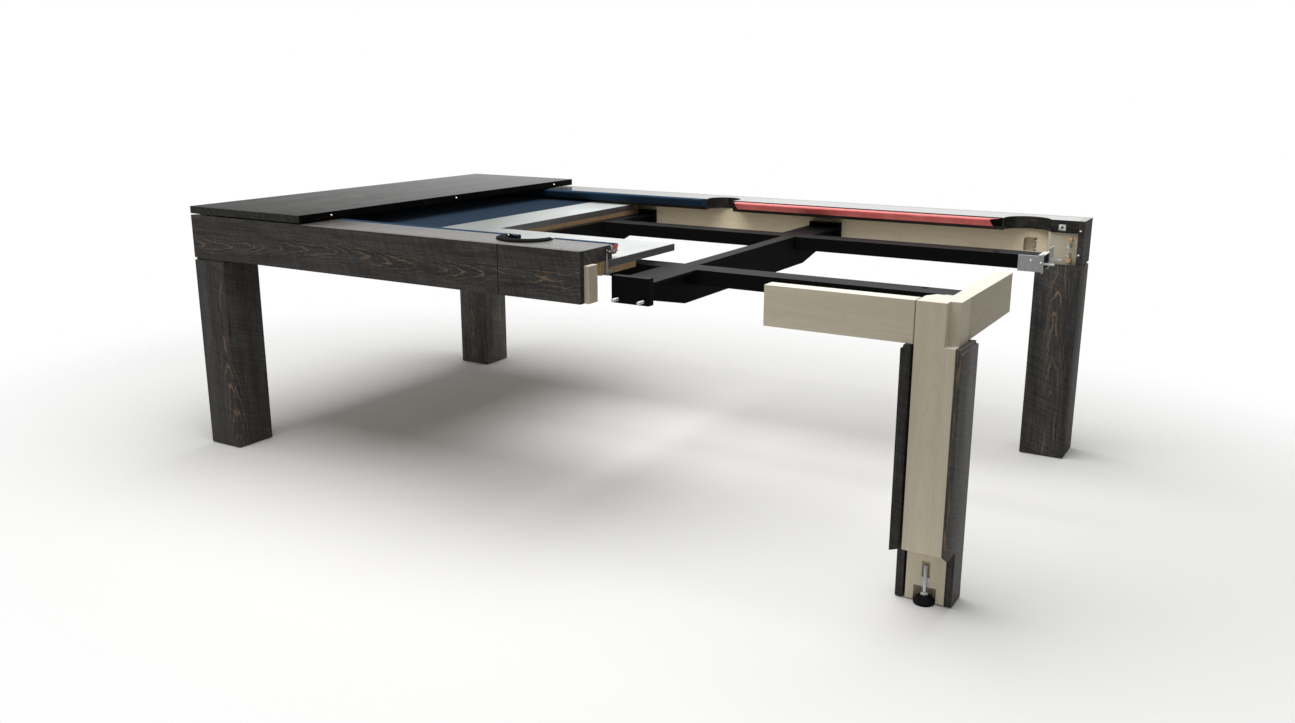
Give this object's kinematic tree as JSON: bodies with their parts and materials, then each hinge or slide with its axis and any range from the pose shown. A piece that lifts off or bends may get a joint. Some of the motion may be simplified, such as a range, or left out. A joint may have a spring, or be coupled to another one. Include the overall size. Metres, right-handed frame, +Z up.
{
  "type": "pool table",
  "caption": "Cut-away pool table with a lift-off dining top, showing its slate bed, welded steel frame, cushion rails, timber aprons and levelling feet.",
  "frame": {"origin": "on the floor under the middle of the table", "axes": "+X along the table towards its cut-away end, +Y across it away from the pictured side, +Z up"},
  "size_m": [2.605, 1.496, 0.8286],
  "materials": {
    "dark_wood": "charcoal stain over an open, brushed grain, satin",
    "light_wood": "pale sanded hardwood, clear matt seal",
    "bed_wood": "raw softwood, matt",
    "dowel_wood": "raw fluted hardwood, matt",
    "slate": "honed, matt",
    "bed_cloth": "close-napped worsted cloth",
    "cushion_cloth": "close-napped worsted cloth",
    "red_rubber": "moulded gum rubber, soft sheen",
    "black_steel": "fine matt powder coat",
    "galvanised_steel": "zinc plated, satin",
    "bright_pins": "bright plated",
    "zinc_hardware": "zinc plated, satin",
    "pocket_liner": "black moulded, matt",
    "foot_rubber": "black moulded, matt",
    "pad_rubber": "black, matt"
  },
  "bodies": {
    "table": {"apron_dowels": "dowel_wood", "apron_pins": "bright_pins", "bed_cloth": "bed_cloth", "bracket_bolts": "zinc_hardware", "cross_beam_left": "black_steel", "cross_beam_right": "black_steel", "cushion_cloth": "cushion_cloth", "end_brackets": "galvanised_steel", "far_apron": "dark_wood", "far_corner_pocket": "pocket_liner", "far_cushion_left": "red_rubber", "far_cushion_right": "red_rubber", "far_inner_apron": "light_wood", "far_long_beam": "black_steel", "far_rail": "dark_wood", "hanger_bolts": "zinc_hardware", "left_apron": "dark_wood", "left_cushion": "red_rubber", "left_inner_apron": "light_wood", "left_rail": "dark_wood", "leg_cladding_far_left": "dark_wood", "leg_cladding_far_right": "dark_wood", "leg_cladding_near_left": "dark_wood", "leg_cladding_near_right": "dark_wood", "leg_inserts": "zinc_hardware", "leg_post_far_left": "light_wood", "leg_post_far_right": "light_wood", "leg_post_near_left": "light_wood", "leg_post_near_right": "light_wood", "near_apron_left": "dark_wood", "near_apron_right": "dark_wood", "near_corner_pocket": "pocket_liner", "near_cushion_left": "red_rubber", "near_cushion_right": "red_rubber", "near_inner_apron_left": "light_wood", "near_inner_apron_right": "light_wood", "near_long_beam": "black_steel", "near_rail": "dark_wood", "near_side_pocket": "pocket_liner", "outrigger_far_left": "black_steel", "outrigger_far_right": "black_steel", "outrigger_near_left": "black_steel", "outrigger_near_right": "black_steel", "rail_bolts": "zinc_hardware", "rail_insert": "zinc_hardware", "right_apron_stub": "dark_wood", "right_inner_apron": "light_wood", "slate": "slate", "slate_frame": "bed_wood"},
    "dining_top": {"dining_top_panel": "dark_wood", "dining_top_pins": "bright_pins", "dining_top_pads": "pad_rubber"},
    "foot_near_left": {"foot_pad_near_left": "foot_rubber", "foot_stud_near_left": "zinc_hardware"},
    "foot_near_right": {"foot_pad_near_right": "foot_rubber", "foot_stud_near_right": "zinc_hardware"},
    "foot_far_left": {"foot_pad_far_left": "foot_rubber", "foot_stud_far_left": "zinc_hardware"},
    "foot_far_right": {"foot_pad_far_right": "foot_rubber", "foot_stud_far_right": "zinc_hardware"}
  },
  "joints": [
    {"name": "dining_top_lift", "type": "slide", "parent": "table", "child": "dining_top", "axis": [0, 0, 1], "range_m": [0, 0.4]},
    {"name": "foot_near_left_screw", "type": "slide", "parent": "table", "child": "foot_near_left", "axis": [0, 0, -1], "range_m": [-0.003, 0.025]},
    {"name": "foot_near_right_screw", "type": "slide", "parent": "table", "child": "foot_near_right", "axis": [0, 0, -1], "range_m": [-0.003, 0.025]},
    {"name": "foot_far_left_screw", "type": "slide", "parent": "table", "child": "foot_far_left", "axis": [0, 0, -1], "range_m": [-0.003, 0.025]},
    {"name": "foot_far_right_screw", "type": "slide", "parent": "table", "child": "foot_far_right", "axis": [0, 0, -1], "range_m": [-0.003, 0.025]}
  ]
}
